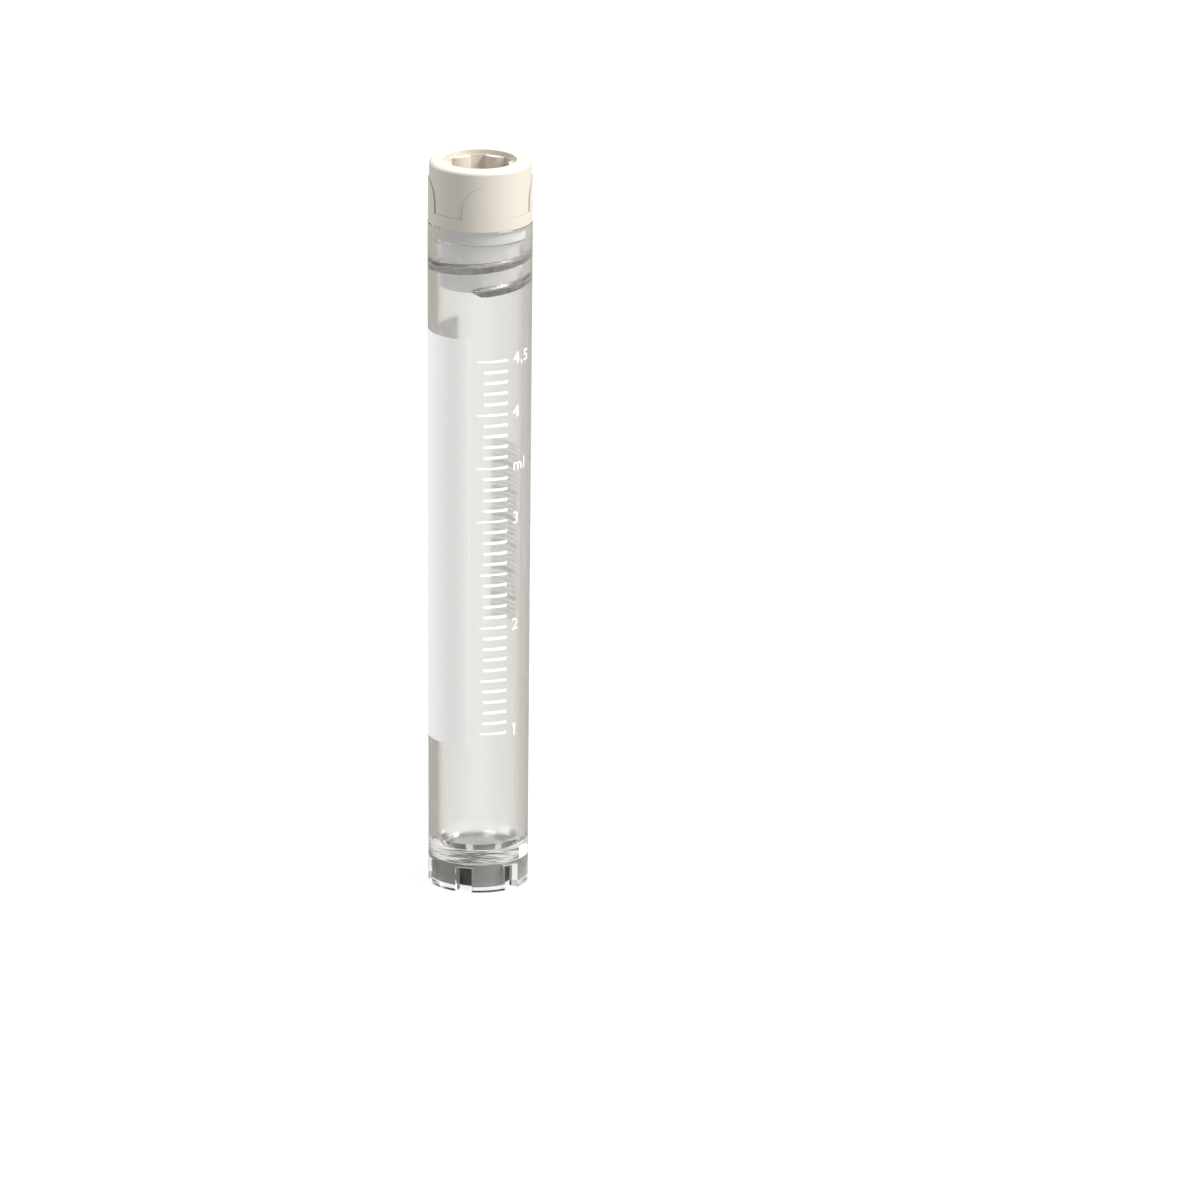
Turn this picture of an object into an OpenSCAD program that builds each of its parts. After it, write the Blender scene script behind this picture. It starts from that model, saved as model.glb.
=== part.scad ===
// Cryovial with an internal thread, a star foot and a lobed screw cap, for 5 ml.
// Millimetres, +Z up. The origin is the middle of the foot, on the plane it stands on.
// The front of the vial, where the graduation is, faces -Y. Angles of printed and
// moulded features are counted from the front, positive towards +X.

/* [Tube] */
// Outer diameter at the rim
rim_od = 12.5; // [11.5:0.1:14]
// Outer diameter of the straight foot
foot_od = 11.92; // [11.2:0.02:13]
// Height from the foot to the rim
tube_h = 81.9; // [75:0.1:110]
// Height of the straight foot, where the tapered wall starts
foot_h = 6.5; // [5.5:0.1:9]
// Wall thickness of the tube
wall = 1.2; // [1:0.05:1.4]
// Height of the chamber's floor above the foot
floor_z = 4.7; // [4.3:0.1:5.4]
// Diameter of the flat floor, up to the short cone round it
floor_d = 7.8; // [5:0.1:8.2]
// Height where the cone meets the chamber's wall
cone_z = 5.9; // [5.6:0.1:7]
// Radius between the floor and the cone
floor_r = 1; // [0.3:0.1:1.4]
// Rounding of the rim's edges
rim_r = 0.15; // [0.05:0.01:0.3]

/* [Star foot] */
// Number of notches round the foot
notches = 6; // [4:1:8]
// Angle that each notch takes, degrees
notch_deg = 19.5; // [12:0.5:25]
// Height of the notches
notch_h = 3; // [2:0.1:3.1]
// Angle of the first notch from the front, degrees
notch_at = -17.25; // [-45:0.25:45]
// Radial thickness of the teeth
tooth_t = 1.25; // [1:0.05:1.5]
// Depth of the round pocket that holds the code insert
pocket_h = 3.2; // [2.8:0.1:3.8]

/* [Code insert] */
// Diameter of the insert's flat face
face_d = 8.3; // [7:0.1:8.8]
// How far the face lies above the foot plane
face_z = 0.2; // [0.1:0.05:0.6]
// Height of the face above the flange round it
face_h = 1; // [0.5:0.1:1.6]
// Chamfer of the face's edge
face_chamfer = 0.12; // [0.05:0.01:0.3]
// Gap between the insert's top and the pocket's ceiling
top_gap = 0.12; // [0.05:0.01:0.3]
// Height of the band that grips the pocket's wall
grip_z = 1.9; // [1.6:0.1:2.4]
// Width of the gripping band
grip_w = 0.4; // [0.2:0.05:0.6]
// Side of the square code patch
patch_w = 3; // [2:0.1:4]
// Turn of the code patch, degrees
patch_turn = 33; // [-45:1:45]

/* [Mouth] */
// Wall thickness at the mouth, round the seal ring's seat
mouth_wall = 0.83; // [0.7:0.01:0.95]
// Depth of the seal ring's seat below the rim
seat_depth = 1.8; // [1.4:0.05:2.2]

/* [Thread] */
// Rise of the thread in one turn
pitch = 2.92; // [2.7:0.02:3.2]
// Depth of the tube's thread groove in its wall
groove_t = 0.55; // [0.4:0.01:0.6]
// Width of the groove's bottom
groove_w = 0.1; // [0.06:0.02:0.2]
// Axial width of the groove's short upper flank
upper_flank = 0.35; // [0.3:0.05:0.4]
// Axial width of the groove's long lower flank
lower_flank = 0.85; // [0.6:0.05:1]
// Turns of the full groove
thread_turns = 1.45; // [1.3:0.05:1.6]
// Depth of the groove's lower start below the rim
thread_depth = 7.35; // [7:0.05:7.6]
// Angle of the groove's lower start from the front, degrees
thread_at = -11.5; // [-90:0.5:90]
// Angle over which the groove's ends run out, degrees
runout_deg = 18; // [10:1:40]

/* [Cap] */
// Height of the cap above the rim
cap_h = 7.4; // [6.8:0.1:10]
// Diameter of the cap's lower band and raised arches
band_od = 12.4; // [12.3:0.02:12.5]
// Height of the lower band
band_h = 1.5; // [1:0.1:2]
// Diameter of the cap's body between the arches
body_od = 12.2; // [11.8:0.02:12.26]
// Rounding of the cap's top edge
top_r = 0.5; // [0.2:0.05:0.8]
// Number of raised arches
arches = 4; // [3:1:5]
// Angle that each arch takes, degrees
arch_deg = 49; // [36:1:56]
// Height of each arch above the band
arch_h = 4.1; // [3:0.1:4.4]
// Angle of the first arch from the front, degrees
arch_at = 4.4; // [-45:0.1:45]
// Gap between the cap's underside and the rim
seat_gap = 0.05; // [0.03:0.01:0.1]

/* [Cap socket] */
// Diameter of the shallow recess at the socket's mouth
lip_d = 8.66; // [8.5:0.02:9.4]
// Depth of the shallow recess
lip_depth = 0.57; // [0.3:0.01:1]
// Diameter across the socket's lobes
lobe_d = 8.36; // [7.8:0.02:8.4]
// Number of lobes
lobes = 6; // [5:1:7]
// Radius of each rib between two lobes
rib_r = 1.85; // [1.5:0.05:2]
// Distance from the socket's axis to the nearest point of a rib
rib_in = 3.38; // [3.1:0.02:3.6]
// Depth of the socket below the cap's top
socket_depth = 5; // [4.2:0.1:5.4]
// Angle of the first rib from the front, degrees
rib_at = 34.5; // [0:0.5:60]

/* [Plug] */
// Length of the cap's plug below the rim
plug_l = 7.66; // [7:0.02:8]
// Height of the seal ring under the cap
seal_h = 1.7; // [1.2:0.05:2]
// Depth of the dish in the plug's end
dish_depth = 0.8; // [0.3:0.1:1.5]
// Diameter of the dish
dish_d = 7.5; // [6:0.1:8.6]
// Diameter of the plug
plug_d = 9.4; // [9:0.05:9.6]
// Turns of the plug's thread ridge
ridge_turns = 1.15; // [0.8:0.05:1.3]
// Axial width of the ridge where it leaves the plug
ridge_w = 0.46; // [0.36:0.02:0.5]
// Gap between the ridge and the tube's groove
thread_gap = 0.06; // [0.04:0.01:0.08]
// Gap between the seal ring and the tube
seal_gap = 0.03; // [0.02:0.01:0.08]

/* [Printing] */
// Thickness of the printed layers
ink_t = 0.04; // [0.02:0.01:0.1]
// Height of the writing panel's lower edge
panel_z = 18.3; // [12:0.1:24]
// Height of the writing panel
panel_h = 50.4; // [20:0.1:52]
// Angle of the writing panel's right edge from the front, degrees
panel_at = -10; // [-30:1:-6]
// Angle that the writing panel takes, degrees
panel_deg = 140; // [60:1:170]
// Height of the graduation's lowest mark
scale_z = 19.85; // [15:0.05:26]
// Distance between two marks
mark_pitch = 1.32; // [1:0.01:1.4]
// Thickness of a mark's line
mark_w = 0.36; // [0.2:0.01:0.5]
// Thickness of each fifth mark's line
long_w = 0.27; // [0.2:0.01:0.5]
// Number of marks
marks = 36; // [10:1:38]
// Angle at which all marks end, degrees from the front
mark_end = 32.6; // [25:0.1:40]
// Angle that a short mark takes, degrees
mark_deg = 27.9; // [15:0.1:30]
// Extra angle of each fifth mark, degrees
long_extra = 3.2; // [1:0.1:4]
// Extra angle of each fifth mark in the upper half, degrees
upper_extra = 8; // [4:0.1:9]
// Height of the bar pattern's lower edge
bars_z = 31.5; // [20:0.5:36]
// Number of bars
bars = 34; // [8:1:40]
// Width of the narrowest bar and gap
bar_w = 0.3; // [0.2:0.01:0.4]
// Angle of the bars' near end from the front, degrees
bars_at = 112; // [100:1:130]
// Angle that the bars take, degrees
bars_deg = 52; // [30:1:60]

/* [Hidden] */
$fn = 144;
// Where the front lies, counted from +X
front = -90;
// Overshoot of a cut past the surface that it leaves through
cut = 1;
// How deep a raised shape starts inside the piece that it grows from
sink = 0.05;
// Share of its full depth at which a thread's end stops
thread_tip = 0.02;
// Clearance of the code insert's side in its pocket
insert_gap = 0.09;
// Segments of the thread in one turn
thread_fn = 40;
// Marks from one long mark to the next, and the first long mark of the upper half
long_every = 5;
upper_from = 20;

foot_r = foot_od / 2;
rim_out = rim_od / 2;
pocket_r = foot_r - tooth_t;
cap_z = tube_h + seat_gap;
cap_top = tube_h + cap_h;
plug_z = tube_h - plug_l;
seal_z = cap_z - seal_h;

// Outer radius of the tapered wall at height z, and of the bore inside it
function wall_r(z) = foot_r + (rim_out - foot_r) * (z - foot_h) / (tube_h - foot_h);
function bore_r(z) = wall_r(z) - wall;

mouth_r = bore_r(tube_h);
thread_z = tube_h - thread_depth;
thread_bore = bore_r(thread_z);
plug_r = plug_d / 2;
seat_r = rim_out - mouth_wall;
seat_z = tube_h - seat_depth;
ridge_r = seat_r - 2 * thread_gap;
// Turns after which the ridge's path is clear of the bore, above the seat
exit_turns = (seat_z - thread_z + ridge_w) / pitch;

// Share of its full depth that a groove has at turn t of n, with a run-out at each end
function fade(t, n) = let (r = runout_deg / 360) max(thread_tip, min(1, t / r, (n - t) / r));

// Point of a helix at turn t, at radius r and height z above the helix's start
function helix(t, r, z) = [r * cos(360 * t), r * sin(360 * t), z + pitch * t];

// A solid swept up the thread's helix from its rings, each a list of [radius, height]
module helical_sweep(rings, first_turn = 0) {
    m = len(rings[0]);
    n = len(rings);
    points = [for (i = [0:n - 1]) for (p = rings[i]) helix(first_turn + i / thread_fn, p[0], p[1])];
    sides = [for (i = [0:n - 2]) for (j = [0:m - 1])
        let (a = i * m + j, b = i * m + (j + 1) % m)
        each [[a, b, b + m], [a, b + m, a + m]]];
    first = [for (j = [m - 1:-1:0]) j];
    last = [for (j = [0:m - 1]) (n - 1) * m + j];
    translate([0, 0, thread_z])
        rotate(front + thread_at)
            polyhedron(points, concat([first, last], sides), convexity = 8);
}

// Section of the tube's groove at share s of its full depth, from inside the bore out.
// Its flanks run on inwards by s * groove_t, so that a shallow groove is a narrow one.
function groove_section(s) = let (in = thread_bore - groove_t, depth = (1 + s) * groove_t) [
    [in, -groove_w / 2 - lower_flank * (1 + s)],
    [in + depth, -groove_w / 2 * s],
    [in + depth, groove_w / 2 * s],
    [in, groove_w / 2 + upper_flank * (1 + s)]];

// Section of the plug's ridge, grown by gap on every side to cut its way through the tube
function ridge_section(gap = 0) = let (root = plug_r - sink, tip = ridge_r + gap) [
    [root, -ridge_w / 2 - gap],
    [tip, -ridge_w / 4 - gap],
    [tip, ridge_w / 4 + gap],
    [root, ridge_w / 2 + gap]];

module thread_groove() {
    steps = round(thread_turns * thread_fn);
    helical_sweep([for (i = [0:steps]) groove_section(fade(i / thread_fn, steps / thread_fn))]);
    entry_steps = ceil((exit_turns - 1) * thread_fn);
    helical_sweep([for (i = [0:entry_steps]) ridge_section(thread_gap)], 1);
}

module plug_thread() {
    first_turn = runout_deg / 360;
    helical_sweep([for (i = [0:round(ridge_turns * thread_fn)]) ridge_section()], first_turn);
}

// What is cut away, in a section, to round an outer corner at [x, z] by r. The corner
// points up, and outwards for side 1 or inwards for side -1.
module corner_cut(x, z, r, side = 1) {
    translate([x - side * r, z - r]) difference() {
        translate([side > 0 ? 0 : -r - cut, 0]) square(r + cut);
        circle(r = r);
    }
}

// Wedge of h in height that reaches out past r and takes deg degrees, centred on the X axis
module sector(r, deg, h) {
    linear_extrude(height = h)
        polygon([[0, 0], [r, -r * tan(deg / 2)], [r, r * tan(deg / 2)]]);
}

module tube_stock() {
    rotate_extrude() difference() {
        polygon([[0, 0], [foot_r, 0], [foot_r, foot_h], [rim_out, tube_h], [0, tube_h]]);
        corner_cut(rim_out, tube_h, rim_r);
        corner_cut(seat_r, tube_h, rim_r, -1);
    }
}

// The liquid chamber: a flat floor in a short cone, a tapered wall and the open mouth
module chamber() {
    edge = floor_d / 2;
    cone_r = bore_r(cone_z);
    slope = atan2(cone_z - floor_z, cone_r - edge);
    reach = floor_r * tan(slope / 2);
    rotate_extrude() {
        polygon([[0, floor_z], [edge - reach, floor_z],
                 [edge + reach * cos(slope), floor_z + reach * sin(slope)],
                 [cone_r, cone_z], [mouth_r, tube_h], [mouth_r, tube_h + cut], [0, tube_h + cut]]);
        translate([edge - reach, floor_z + floor_r]) circle(r = floor_r);
    }
}

module tube() {
    color([0.92, 0.92, 0.9, 0.45])
        difference() {
            tube_stock();
            chamber();
            translate([0, 0, seat_z]) cylinder(r = seat_r, h = seat_depth + cut);
            thread_groove();
            translate([0, 0, -cut]) cylinder(r = pocket_r, h = pocket_h + cut);
            for (i = [0:notches - 1])
                rotate(front + notch_at + i * 360 / notches)
                    translate([0, 0, -cut]) sector(foot_r + cut, notch_deg, notch_h + cut);
        }
}

module code_insert() {
    face_r = face_d / 2;
    side_r = pocket_r - insert_gap;
    flange_z = face_z + face_h;
    color([0.27, 0.27, 0.26])
        rotate_extrude() {
            polygon([[0, face_z], [face_r - face_chamfer, face_z], [face_r, face_z + face_chamfer],
                     [face_r, flange_z], [side_r, flange_z], [side_r, pocket_h - top_gap],
                     [0, pocket_h - top_gap]]);
            translate([0, grip_z]) square([pocket_r, grip_w]);
        }
}

module code_patch() {
    color([0.93, 0.92, 0.9])
        rotate(patch_turn)
            translate([-patch_w / 2, -patch_w / 2, face_z - ink_t])
                cube([patch_w, patch_w, ink_t]);
}

// A printed patch on the tapered wall, from height z up and from angle at round
module print(z, h, at, deg) {
    rotate(front + at)
        rotate_extrude(angle = deg)
            polygon([[wall_r(z), z], [wall_r(z) + ink_t, z],
                     [wall_r(z + h) + ink_t, z + h], [wall_r(z + h), z + h]]);
}

module writing_panel() {
    color([0.92, 0.92, 0.91])
        print(panel_z, panel_h, panel_at - panel_deg, panel_deg);
}

function is_long(i) = i % long_every == 0;

// Angle that mark number i takes: each fifth one is longer, most of all near the top
function mark_angle(i) = mark_deg + (!is_long(i) ? 0 : i < upper_from ? long_extra : upper_extra);

module scale_marks() {
    color("white")
        for (i = [0:marks - 1]) {
            w = is_long(i) ? long_w : mark_w;
            print(scale_z + i * mark_pitch - w / 2, w, mark_end - mark_angle(i), mark_angle(i));
        }
}

// Widths of the bars follow a plain rule and encode nothing
function bar_width(i) = bar_w * (1 + (i * i + 2 * i) % 5 % 3);
function bar_at(i) = i == 0 ? bars_z : bar_at(i - 1) + bar_width(i - 1) + bar_w;

module bar_pattern() {
    color("white")
        for (i = [0:bars - 1])
            print(bar_at(i), bar_width(i), bars_at, bars_deg);
}

module seal_ring() {
    color([0.78, 0.78, 0.76])
        difference() {
            translate([0, 0, seal_z]) cylinder(r = seat_r - seal_gap, h = seal_h);
            translate([0, 0, seal_z - cut]) cylinder(r = plug_r + seal_gap, h = seal_h + 2 * cut);
        }
}

// Raised panel on the cap's skirt: straight sides under a round top
module arch() {
    r = band_od / 2 * sin(arch_deg / 2);
    intersection() {
        translate([0, 0, cap_z]) cylinder(d = band_od, h = cap_h);
        translate([0, 0, cap_z + band_h]) rotate([90, 0, 90])
            linear_extrude(height = band_od) {
                translate([-r, -sink]) square([2 * r, arch_h - r + sink]);
                translate([0, arch_h - r]) circle(r = r);
            }
    }
}

module cap_stock() {
    body_r = body_od / 2;
    rotate_extrude() difference() {
        translate([0, cap_z]) {
            square([body_r, cap_top - cap_z]);
            square([band_od / 2, band_h]);
        }
        corner_cut(body_r, cap_top, top_r);
    }
    for (i = [0:arches - 1])
        rotate(front + arch_at + i * 360 / arches) arch();
}

module socket() {
    translate([0, 0, cap_top - lip_depth]) cylinder(d = lip_d, h = lip_depth + cut);
    translate([0, 0, cap_top - socket_depth]) difference() {
        cylinder(d = lobe_d, h = socket_depth);
        for (i = [0:lobes - 1])
            rotate(front + rib_at + i * 360 / lobes)
                translate([rib_in + rib_r, 0, -cut]) cylinder(r = rib_r, h = socket_depth + 2 * cut);
    }
}

module plug() {
    dish_r = dish_d / 2;
    sphere_r = (dish_r * dish_r + dish_depth * dish_depth) / (2 * dish_depth);
    difference() {
        union() {
            translate([0, 0, plug_z]) cylinder(r = plug_r, h = cap_z - plug_z);
            plug_thread();
        }
        translate([0, 0, plug_z + dish_depth - sphere_r]) sphere(r = sphere_r);
    }
}

module screw_cap() {
    color([0.93, 0.9, 0.85]) {
        difference() {
            cap_stock();
            socket();
        }
        plug();
    }
}

tube();
code_insert();
code_patch();
writing_panel();
scale_marks();
bar_pattern();
seal_ring();
screw_cap();
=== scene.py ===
"""Looks of the cryovial: a clear tube with a printed scale, a star foot and a lobed screw cap."""

import math

import bpy
from mathutils import Matrix, Vector


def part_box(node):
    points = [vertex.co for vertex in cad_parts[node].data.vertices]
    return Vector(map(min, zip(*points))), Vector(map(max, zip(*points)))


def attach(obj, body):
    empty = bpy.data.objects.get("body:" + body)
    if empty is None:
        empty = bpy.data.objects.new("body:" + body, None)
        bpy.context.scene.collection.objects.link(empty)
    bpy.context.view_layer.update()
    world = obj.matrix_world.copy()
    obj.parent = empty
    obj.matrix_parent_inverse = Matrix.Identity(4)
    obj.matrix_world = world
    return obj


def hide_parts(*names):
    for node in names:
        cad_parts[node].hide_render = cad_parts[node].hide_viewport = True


bl_info = {
    "name": "Cryovial",
    "version": (1, 0, 0),
    "blender": (4, 5, 0),
    "location": "3D View > Sidebar > Cryovial",
    "description": "Models and finishes the pieces of a clear cryovial over its frame",
    "category": "Object",
}

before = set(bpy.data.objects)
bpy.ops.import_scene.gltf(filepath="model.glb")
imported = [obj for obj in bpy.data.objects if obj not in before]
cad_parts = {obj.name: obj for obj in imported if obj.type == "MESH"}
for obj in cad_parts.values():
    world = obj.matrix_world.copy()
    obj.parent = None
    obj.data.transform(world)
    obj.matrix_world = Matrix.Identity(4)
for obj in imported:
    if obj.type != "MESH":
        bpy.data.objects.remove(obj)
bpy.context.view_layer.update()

MM = 0.001
FRONT = -math.pi / 2
TUBE_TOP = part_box("tube")[1].z
CAP_LOW, CAP_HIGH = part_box("screw_cap")
# Steps round the tube's wall, round the cap and the insert, round the layer that trims the
# figures, and in one turn of the thread
WALL_STEPS, CAP_STEPS, FINE_STEPS, THREAD_STEPS = 312, 192, 512, 96
# Points closer than this are one
MERGE = 0.0005 * MM
# Faces are told apart by their middles, which may lie this far off a round wall
NEAR = 0.02 * MM
# How deep a printed layer starts in the wall
UNDER_INK = 0.01 * MM
# Light spreads within the plug
WITHIN = {"Subsurface Weight": 1.0, "Subsurface Radius": (1, 1, 1), "Subsurface Scale": 12 * MM}
# How much of a lamp's light passes a clear wall
PASSING = (0.19, 0.19, 0.19, 1)
# Each figure, and the mark that it stands beside, counted from the lowest
FIGURES = (("4,5", 35), ("4", 30), ("ml", 25), ("3", 20), ("2", 10), ("1", 0))
# Letters that take more or less room along the wall than a figure
ROOM = {",": 0.42, "m": 1.5, "l": 0.45}
# Outline of the 1 with its flag, in halves of a figure's height
FLAGGED_ONE = (
    (0.14, -1),
    (0.14, 1),
    (-0.02, 1),
    (-0.42, 0.68),
    (-0.42, 0.42),
    (-0.12, 0.66),
    (-0.12, -1),
)
# Name, turn from the front and rise in degrees, width in metres, power in watts, and colour
LAMPS = (
    ("key_light", 68, 45, 0.4, 14.2, (1, 0.955, 0.9)),
    ("back_light", -117, 30, 0.6, 4.2, (1, 1, 1)),
    ("top_light", 180, 85, 0.6, 5.5, (0.97, 0.98, 1)),
)


# Settings


def length(name, description, millimetres):
    """A length property whose default is given in millimetres."""
    return bpy.props.FloatProperty(
        name=name, description=description, default=millimetres * MM, unit="LENGTH", precision=5
    )


def angle(name, description, degrees):
    """An angle property whose default is given in degrees."""
    return bpy.props.FloatProperty(
        name=name, description=description, default=math.radians(degrees), subtype="ANGLE"
    )


def number(name, description, default):
    """A property that counts something."""
    return bpy.props.IntProperty(name=name, description=description, default=default, min=1)


def tint(name, description, *default):
    """A colour property in linear light."""
    return bpy.props.FloatVectorProperty(
        name=name, description=description, default=default, subtype="COLOR", min=0, max=1
    )


class TubeSizes(bpy.types.PropertyGroup):
    rim_radius: length("Rim radius", "Outer radius of the tube at the rim", 6.25)
    foot_radius: length("Foot radius", "Outer radius of the straight foot", 5.96)
    foot_height: length("Foot height", "Height at which the tapered wall starts", 6.5)
    wall: length("Wall", "Thickness of the tapered wall", 1.2)
    floor_height: length("Floor height", "Height of the chamber's floor above the foot", 4.7)
    floor_radius: length("Floor radius", "Radius of the flat floor, up to the cone round it", 3.75)
    cone_height: length("Cone height", "Height where the cone meets the chamber's wall", 5.8)
    floor_round: length("Floor round", "Radius between the floor and the cone", 1)
    rim_round: length("Rim round", "Rounding of the rim's edges", 0.15)
    seat_radius: length("Seat radius", "Radius of the seal ring's seat in the mouth", 5.42)
    seat_depth: length("Seat depth", "Depth of the seat below the rim", 1.8)
    pocket_radius: length("Pocket radius", "Radius of the pocket inside the star foot", 4.71)
    pocket_height: length("Pocket height", "Height of the pocket's ceiling", 3.2)
    lining_start: length("Lining", "Height at which the insert's lining of the pocket starts", 0.5)


class FootSizes(bpy.types.PropertyGroup):
    notches: number("Notches", "Number of notches", 6)
    notch_angle: angle("Notch angle", "Angle that each notch takes", 19.5)
    notch_height: length("Notch height", "Height of the notches", 3)
    first_notch: angle("First notch", "Angle of the first notch from the front", -17.25)


class ThreadSizes(bpy.types.PropertyGroup):
    pitch: length("Pitch", "Rise of the thread in one turn", 2.92)
    groove_depth: length("Groove depth", "Depth of the groove in the wall", 0.55)
    groove_width: length("Groove width", "Width of the groove's bottom", 0.1)
    upper_flank: length("Upper flank", "Axial width of the short upper flank", 0.35)
    lower_flank: length("Lower flank", "Axial width of the long lower flank", 0.85)
    turns: bpy.props.FloatProperty(name="Turns", description="Turns of the groove", default=1.45)
    start_depth: length("Start depth", "Depth of the lower start below the rim", 7.35)
    start_angle: angle("Start angle", "Angle of the lower start from the front", -11.5)
    runout: angle("Run-out", "Angle over which the groove's ends run out", 18)
    ridge_turns: bpy.props.FloatProperty(
        name="Ridge turns", description="Turns of the plug's ridge", default=1.15
    )
    ridge_width: length("Ridge width", "Axial width of the ridge at its root", 0.46)
    gap: length("Gap", "Gap between the ridge and the groove", 0.06)


class CapSizes(bpy.types.PropertyGroup):
    band_radius: length("Band radius", "Radius of the lower band and the arches", 6.21)
    band_height: length("Band height", "Height of the lower band", 1.5)
    body_radius: length("Body radius", "Radius between the arches", 6.08)
    top_round: length("Top round", "Rounding of the top edge", 0.5)
    arches: number("Arches", "Number of arches", 4)
    arch_angle: angle("Arch angle", "Angle that each arch takes", 49)
    arch_height: length("Arch height", "Height of an arch above the band", 3.9)
    arch_side: length("Arch side", "Width of the slope at each side of an arch", 0.06)
    first_arch: angle("First arch", "Angle of the first arch from the front", 4.4)
    lip_radius: length("Lip radius", "Radius of the shallow recess", 4.33)
    lip_depth: length("Lip depth", "Depth of the shallow recess", 0.57)
    lobe_radius: length("Lobe radius", "Radius of the socket's lobes", 4.18)
    lobes: number("Lobes", "Number of lobes", 6)
    rib_radius: length("Rib radius", "Radius of a rib between two lobes", 1.85)
    rib_reach: length("Rib reach", "Distance from the axis to a rib", 3.38)
    first_rib: angle("First rib", "Angle of the first rib from the front", 34.5)
    socket_depth: length("Socket depth", "Depth of the socket below the top", 5)
    seat_gap: length("Seat gap", "Gap between the cap's underside and the rim", 0.05)
    plug_radius: length("Plug radius", "Radius of the plug", 4.7)
    dish_radius: length("Dish radius", "Radius of the dish in the plug's end", 3.75)
    dish_depth: length("Dish depth", "Depth of the dish", 0.8)


class SealSizes(bpy.types.PropertyGroup):
    inner_radius: length("Inner radius", "Inner radius of the seal ring", 4.73)
    outer_radius: length("Outer radius", "Outer radius of the seal ring", 5.39)


class InsertSizes(bpy.types.PropertyGroup):
    face_radius: length("Face radius", "Radius of the flat face", 4.15)
    face_height: length("Face height", "Height of the face above the foot plane", 0.2)
    face_rise: length("Face rise", "Height of the face above the flange", 1)
    chamfer: length("Chamfer", "Chamfer of the face's edge", 0.12)
    flange_radius: length("Flange radius", "Radius of the insert's side", 4.62)
    grip_radius: length("Grip radius", "Radius of the band that holds the insert", 4.7)
    grip_height: length("Grip height", "Height of the band's lower edge", 1.9)
    grip_width: length("Grip width", "Width of the band", 0.4)
    top: length("Top", "Height of the insert's top", 3.08)
    # The light disc and the lit patches on the insert's hidden back are painted light
    painted_disc_radius: length("Back radius", "Radius of the light disc on the insert's back", 3.4)
    painted_light_share: bpy.props.FloatProperty(
        name="Lit share",
        description="Half width of a lit patch over the notches' spacing",
        default=0.12,
    )
    code_width: length("Code width", "Side of the code inside its white square", 2.3)
    cells: number("Cells", "Cells along the code's side", 12)
    patch_turn: angle("Patch turn", "Turn of the code patch", 33)


class PrintSizes(bpy.types.PropertyGroup):
    ink: length("Ink", "Thickness of the printed layers", 0.04)
    panel_low: length("Panel", "Height of the writing panel's lower edge", 18.3)
    panel_height: length("Panel height", "Height of the writing panel", 50.4)
    panel_start: angle("Panel start", "Angle of the panel's far edge from the front", -150)
    panel_turn: angle("Panel angle", "Angle that the writing panel takes", 140)
    first_mark: length("First mark", "Height of the lowest mark", 19.85)
    mark_pitch: length("Mark pitch", "Distance between two marks", 1.32)
    marks: number("Marks", "Number of marks", 36)
    mark_width: length("Mark width", "Thickness of a short mark", 0.32)
    long_width: length("Long width", "Thickness of each fifth mark", 0.25)
    mark_end: angle("Marks' end", "Angle from the front at which all marks end", 32.6)
    mark_turn: angle("Mark angle", "Angle that a short mark takes", 27.9)
    long_extra: angle("Long extra", "Extra angle of each fifth mark in the lower half", 3.2)
    upper_extra: angle("Upper extra", "Extra angle of each fifth mark in the upper half", 8)
    upper_from: number("Upper from", "First long mark of the upper half", 20)
    bars_low: length("Bars", "Height of the bar pattern's lower edge", 31.5)
    bars: number("Number of bars", "Number of bars", 34)
    bar_width: length("Bar width", "Width of the narrowest bar and gap", 0.3)
    bars_start: angle("Bars' start", "Angle of the bars' near end from the front", 112)
    bars_turn: angle("Bars' angle", "Angle that the bars take", 52)
    figures_start: angle("Figures' start", "Angle of the figures' left edge from the front", 39)
    figure_size: length("Figure size", "Size of the letters", 2.05)
    figure_height: length("Figure height", "Height of a figure", 1.5)
    figure_width: length("Figure width", "Space for one figure along the wall", 1.2)
    figure_rise: length("Figure rise", "How far a figure's middle lies above its mark", 0.18)


class StudioSizes(bpy.types.PropertyGroup):
    distance: length("Camera distance", "Distance from the camera to the vial", 2000)
    lens: bpy.props.FloatProperty(
        name="Lens", description="Focal length of the camera, in millimetres", default=503.76
    )
    elevation: angle("Elevation", "How far the camera looks down", 16.62)
    aim_side: length("Aim to the side", "How far right of the vial the camera aims", 14.44)
    aim_height: length("Aim height", "Height at which the camera aims", 34.82)
    pivot_height: length("Pivot height", "Height of the point that the camera is raised about", 45)
    roll: angle("Roll", "Turn of the camera about its line of sight", 0.315)


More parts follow.
